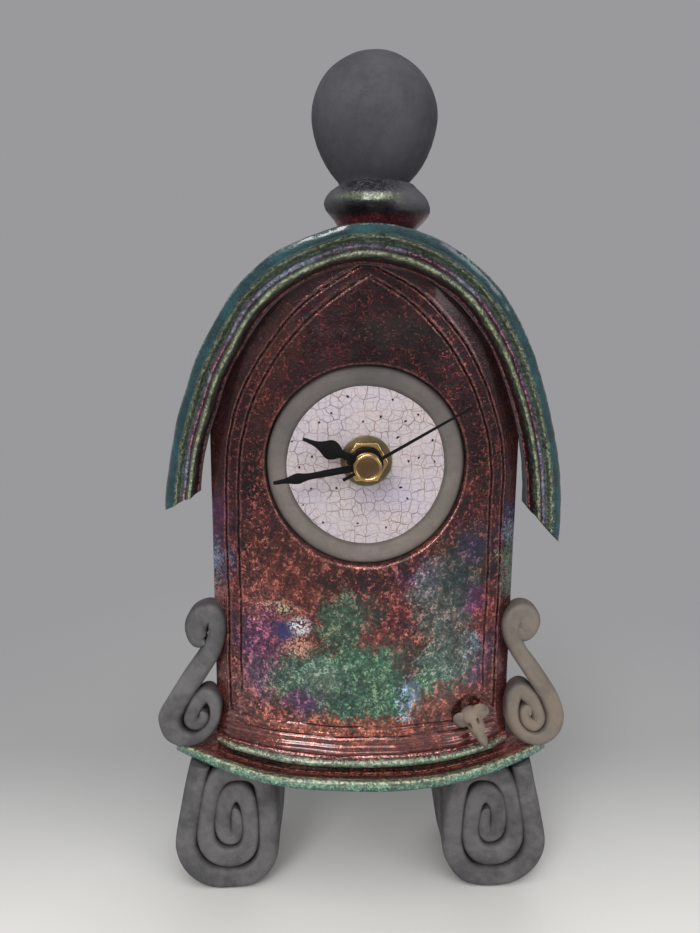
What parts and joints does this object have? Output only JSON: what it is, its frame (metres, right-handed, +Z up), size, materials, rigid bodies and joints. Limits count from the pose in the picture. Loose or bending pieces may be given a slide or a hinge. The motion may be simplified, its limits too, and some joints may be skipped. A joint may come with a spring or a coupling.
{
  "type": "mantel clock",
  "caption": "Hand-built ceramic mantel clock with a bowed arched case, ball finial, side scrolls and rolled feet; a quartz movement turns the hands over a round crackle dial.",
  "frame": {"origin": "on the floor under the middle of the base plate", "axes": "+Z up, -Y towards the viewer, +X to the viewer's right"},
  "size_m": [0.1432, 0.066, 0.2821],
  "materials": {
    "copper_red_glaze": "raku lustre",
    "teal_glaze": "raku gloss",
    "green_copper_glaze": "raku lustre",
    "gold_lustre_glaze": "raku lustre",
    "crackle_white_glaze": "crackle gloss",
    "bare_clay": "matte",
    "smoked_clay": "matte",
    "ring_clay": "matte",
    "mouse_clay": "matte",
    "brass": "polished",
    "black_paint": "satin",
    "rubber": "matte",
    "black_plastic": "moulded",
    "white_plastic": "moulded",
    "ferrite": "sintered",
    "soft_iron": "stamped",
    "copper_wire": "enamelled",
    "board_laminate": "varnished",
    "crystal_can": "bright",
    "cell_sleeve": "printed sleeve",
    "spring_steel": "plated"
  },
  "bodies": {
    "case": {"base_plate": "green_copper_glaze", "front_panel": "copper_red_glaze", "left_side_panel": "copper_red_glaze", "right_side_panel": "copper_red_glaze", "back_panel": "smoked_clay", "roof": "teal_glaze", "finial_collar": "gold_lustre_glaze", "finial_ball": "smoked_clay", "left_foot": "bare_clay", "right_foot": "bare_clay", "left_scroll": "bare_clay", "right_scroll": "bare_clay", "mouse": "mouse_clay", "dial_ring": "ring_clay", "dial_disc": "crackle_white_glaze", "brass_washer": "brass", "hex_nut": "brass", "threaded_bushing": "brass", "rubber_gasket": "rubber", "movement_front_case": "black_plastic", "movement_rear_cover": "black_plastic", "train_plate": "white_plastic", "stator": "soft_iron", "coil_bobbin": "white_plastic", "coil_winding": "copper_wire", "circuit_board": "board_laminate", "quartz_crystal": "crystal_can", "battery_cell": "cell_sleeve", "left_battery_contact": "spring_steel", "right_battery_contact": "spring_steel"},
    "minute": {"centre_wheel": "white_plastic", "minute_hand": "black_paint"},
    "hour": {"hour_wheel": "white_plastic", "hour_hand": "black_paint"},
    "setting": {"minute_wheel": "white_plastic", "setting_knob": "black_plastic"},
    "third": {"third_wheel": "white_plastic"},
    "seconds": {"second_wheel": "white_plastic", "second_hand": "black_paint", "second_hand_cap": "brass"},
    "fifth": {"fifth_wheel": "white_plastic"},
    "rotor": {"rotor": "ferrite"}
  },
  "joints": [
    {"name": "minute_turn", "type": "hinge", "parent": "case", "child": "minute", "pos_m": [0, 0, 0.1573], "axis": [0, 1, 0], "continuous": true},
    {"name": "hour_turn", "type": "hinge", "parent": "case", "child": "hour", "pos_m": [0, 0, 0.1573], "axis": [0, 1, 0], "continuous": true},
    {"name": "setting_turn", "type": "hinge", "parent": "case", "child": "setting", "pos_m": [0.01128, 0, 0.1614], "axis": [0, 1, 0], "continuous": true},
    {"name": "third_turn", "type": "hinge", "parent": "case", "child": "third", "pos_m": [-0.00764, 0, 0.16494], "axis": [0, 1, 0], "continuous": true},
    {"name": "seconds_turn", "type": "hinge", "parent": "case", "child": "seconds", "pos_m": [0, 0, 0.1573], "axis": [0, 1, 0], "continuous": true},
    {"name": "fifth_turn", "type": "hinge", "parent": "case", "child": "fifth", "pos_m": [0.00328, 0, 0.16632], "axis": [0, 1, 0], "continuous": true},
    {"name": "rotor_turn", "type": "hinge", "parent": "case", "child": "rotor", "pos_m": [0.00328, 0, 0.17416], "axis": [0, 1, 0], "continuous": true}
  ],
  "couplings": [
    {"joint": "hour_turn", "follows": "minute_turn", "ratio": 0.083333},
    {"joint": "setting_turn", "follows": "minute_turn", "ratio": -0.33333},
    {"joint": "third_turn", "follows": "minute_turn", "ratio": -8},
    {"joint": "seconds_turn", "follows": "minute_turn", "ratio": 60},
    {"joint": "fifth_turn", "follows": "minute_turn", "ratio": -300},
    {"joint": "rotor_turn", "follows": "minute_turn", "ratio": 1800}
  ]
}
